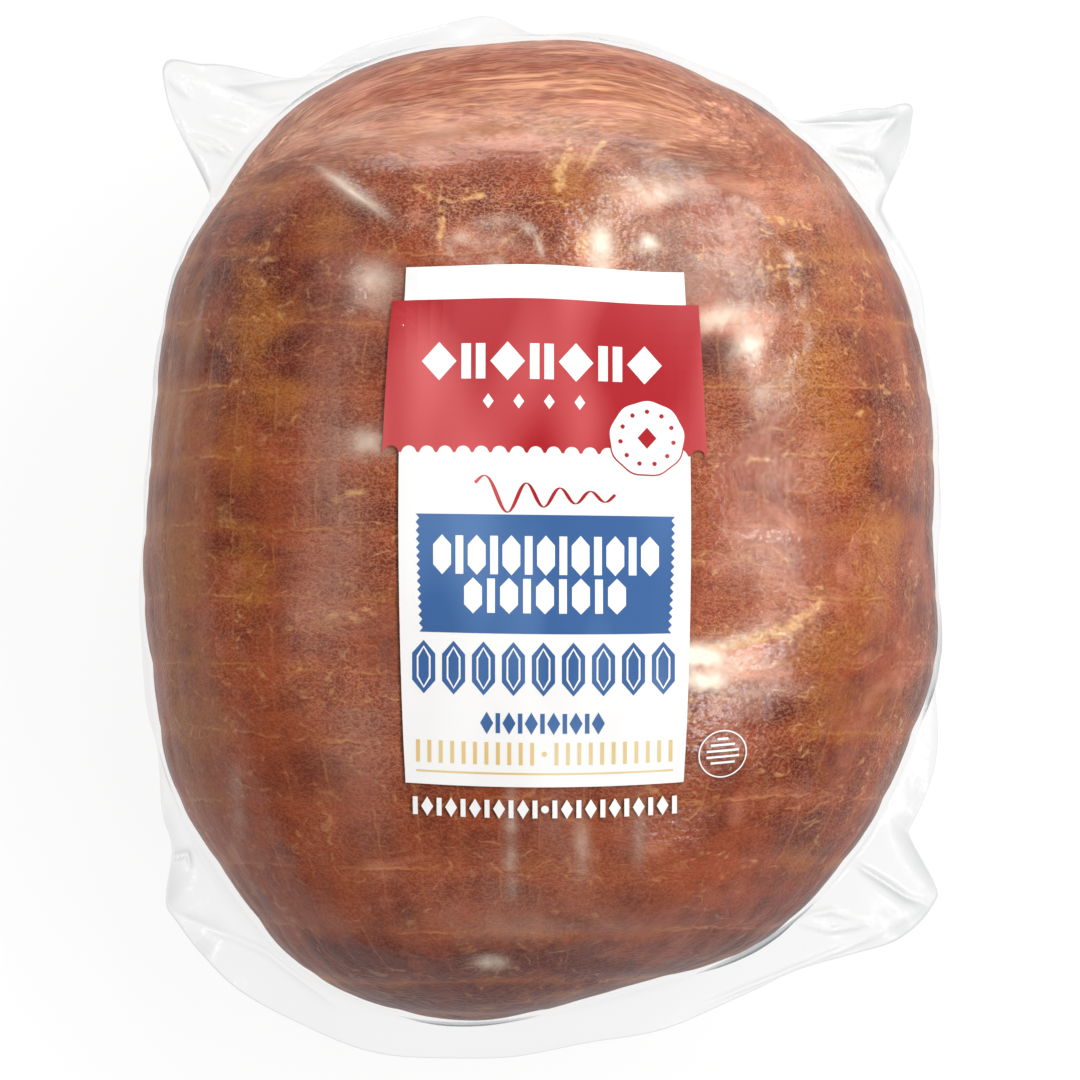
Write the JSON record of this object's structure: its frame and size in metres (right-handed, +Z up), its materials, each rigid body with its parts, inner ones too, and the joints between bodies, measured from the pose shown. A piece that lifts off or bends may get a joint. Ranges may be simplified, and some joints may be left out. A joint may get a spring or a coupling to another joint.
{
  "type": "vacuum-packed boneless smoked ham",
  "caption": "Whole oval boneless ham sealed in a clear film bag with crumpled corners and a plain printed label on top.",
  "frame": {"origin": "middle of the flat spot that the ham rests on", "axes": "+Y along the ham's length toward the top of the label, +X to the label's right, +Z up out of the label"},
  "size_m": [0.2049, 0.2661, 0.1262],
  "materials": {
    "clear_bag_over_ham": "smoked red-brown meat under glossy clear film drawn tight onto it",
    "printed_label": "white printed film with a red band and a blue panel, semi-gloss"
  },
  "bodies": {
    "root": {"bagged_ham": "clear_bag_over_ham", "label": "printed_label"}
  },
  "joints": []
}
